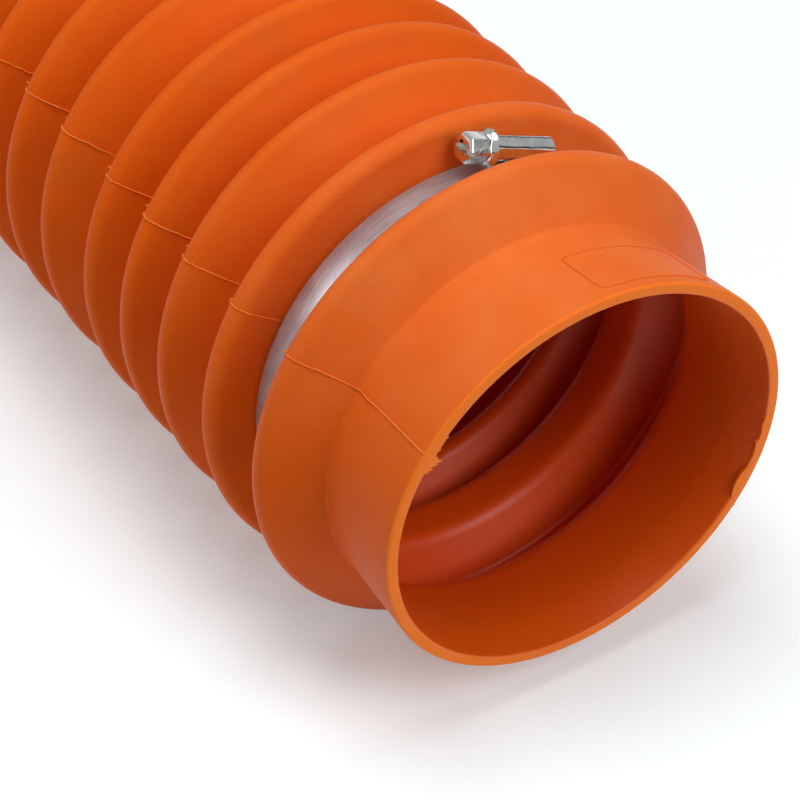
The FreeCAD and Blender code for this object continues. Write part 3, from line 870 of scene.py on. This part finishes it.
flash = [
    make_parting_flash("parting_flash_%d" % index, angle, index + FLASH_SEED)
    for index, angle in enumerate(PARTING_ANGLES)
]
burrs = [make_burrs(angle, index + NUB_SEED) for index, angle in enumerate(PARTING_ANGLES)]
edges = [make_ragged_edge("rim_burr", RIM_BURR), make_ragged_edge("rim_trimming", RIM_TRIMMING)]
panel = make_blank_panel()
dressed = [(piece, flash_highlight_elastomer) for piece in flash + burrs]
dressed += [(piece, elastomer) for piece in edges + [panel]]
for moulded, rubber in dressed:
    soften_mouth(moulded, cage)
    dress(moulded, rubber)
    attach(moulded, "pipe")

bpy.data.objects.remove(cage, do_unlink=True)

screw = make_clamp_screw()
dress(screw, zinc)
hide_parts("clamp_screw")
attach(screw, "screw")

for node, finish in (("clamp_band", strip_steel), ("clamp_housing", zinc), ("clamp_saddle", zinc)):
    for slot in bpy.data.objects[node].material_slots:
        slot.material = finish


# Floor, light and camera

FLOOR_SIZE = 8.0
FLOOR_COLOUR = (0.80, 0.87, 0.88, 1)
FLOOR_GLOW = 0.23

# Each softbox: its name, its place, what it looks at, its size and its power.
SOFTBOXES = (
    ("overhead_softbox", (-0.02, -0.06, 1.3), (0.05, 0, 0.05), 0.75, 10.3),
    ("front_softbox", (0.95, 0.3, 0.85), (0.06, 0, 0.06), 0.7, 7.0),
    ("left_softbox", (-0.4, -0.85, 0.75), (0.05, 0, 0.06), 0.6, 2.8),
)

# The room as the metal mirrors it: a height and a grey each, and the light that it gives.
WALL = (0.10, 0.9)
CEILING = (0.30, 0.45)
DARK_GAP = ((0.13, 0.02), (0.21, 0.02))
ROOM_LIGHT = 0.10

CAMERA_PLACE = (0.4879, -0.2747, 0.4785)
CAMERA_RIGHT = (0.541, 0.841, 0.0)
CAMERA_BACK = (0.633, -0.408, 0.658)
CAMERA_LENS = 108.0
CAMERA_SENSOR = 36.0


def make_floor():
    """The pale floor, which glows a little to the camera and in the metal."""
    select_only()
    bpy.ops.mesh.primitive_plane_add(size=FLOOR_SIZE)
    floor = bpy.context.object
    floor.name = "floor"
    material, nodes, links, shader = new_material("pale_floor")
    shader.inputs["Base Color"].default_value = FLOOR_COLOUR
    shader.inputs["Roughness"].default_value = 0.9
    shader.inputs["Specular IOR Level"].default_value = 0.1
    glow = nodes.new("ShaderNodeEmission")
    glow.inputs["Color"].default_value = (1, 1, 1, 1)
    paths = nodes.new("ShaderNodeLightPath")
    seen = nodes.new("ShaderNodeMath")
    seen.operation = "MAXIMUM"
    share = nodes.new("ShaderNodeMath")
    share.operation = "MULTIPLY"
    share.inputs[1].default_value = FLOOR_GLOW
    both = nodes.new("ShaderNodeAddShader")
    links.new(paths.outputs["Is Camera Ray"], seen.inputs[0])
    links.new(paths.outputs["Is Glossy Ray"], seen.inputs[1])
    links.new(seen.outputs["Value"], share.inputs[0])
    links.new(share.outputs["Value"], glow.inputs["Strength"])
    links.new(shader.outputs["BSDF"], both.inputs[0])
    links.new(glow.outputs["Emission"], both.inputs[1])
    links.new(both.outputs["Shader"], nodes["Material Output"].inputs["Surface"])
    floor.data.materials.append(material)


def make_softbox(name, place, aim, size, power):
    """A square soft light that looks at a point."""
    light = bpy.data.lights.new(name, "AREA")
    light.shape = "SQUARE"
    light.size = size
    light.energy = power
    lamp = bpy.data.objects.new(name, light)
    bpy.context.collection.objects.link(lamp)
    away = (Vector(place) - Vector(aim)).normalized()
    turn = away.to_track_quat("Z", "Y").to_matrix().to_4x4()
    lamp.matrix_world = Matrix.Translation(place) @ turn


def grey(level):
    """A grey as a colour."""
    return (level, level, level, 1)


def make_studio():
    """An even dim room, white to the camera.

    In the metal it is a white wall, a dark gap above it and a grey ceiling.
    """
    world = bpy.data.worlds.new("studio")
    world.use_nodes = True
    nodes, links = world.node_tree.nodes, world.node_tree.links
    split = nodes.new("ShaderNodeSeparateXYZ")
    links.new(nodes.new("ShaderNodeTexCoord").outputs["Generated"], split.inputs["Vector"])
    heights = nodes.new("ShaderNodeValToRGB")
    stops = heights.color_ramp.elements
    for stop, (height, level) in zip(list(stops), (WALL, CEILING)):
        stop.position = height
        stop.color = grey(level)
    for height, level in DARK_GAP:
        stops.new(height).color = grey(level)
    links.new(split.outputs["Z"], heights.inputs["Fac"])
    paths = nodes.new("ShaderNodeLightPath")
    strength = nodes.new("ShaderNodeMix")
    strength.inputs[2].default_value = ROOM_LIGHT
    links.new(paths.outputs["Is Glossy Ray"], strength.inputs[0])
    links.new(heights.outputs["Color"], strength.inputs[3])
    seen = nodes.new("ShaderNodeMath")
    seen.operation = "MAXIMUM"
    links.new(strength.outputs[0], seen.inputs[0])
    links.new(paths.outputs["Is Camera Ray"], seen.inputs[1])
    background = nodes["Background"]
    background.inputs["Color"].default_value = (1, 1, 1, 1)
    links.new(seen.outputs["Value"], background.inputs["Strength"])
    bpy.context.scene.world = world


def make_camera():
    """The photo's camera: its place, its right and the way back from what it sees."""
    data = bpy.data.cameras.new("camera")
    data.sensor_width = CAMERA_SENSOR
    data.lens = CAMERA_LENS
    camera = bpy.data.objects.new("camera", data)
    bpy.context.collection.objects.link(camera)
    right = Vector(CAMERA_RIGHT).normalized()
    back = Vector(CAMERA_BACK).normalized()
    upward = back.cross(right).normalized()
    turn = Matrix((right, upward, back)).transposed().to_4x4()
    camera.matrix_world = Matrix.Translation(CAMERA_PLACE) @ turn
    bpy.context.scene.camera = camera


make_floor()
for softbox in SOFTBOXES:
    make_softbox(*softbox)
make_studio()
make_camera()
bpy.context.scene.view_settings.view_transform = "Standard"
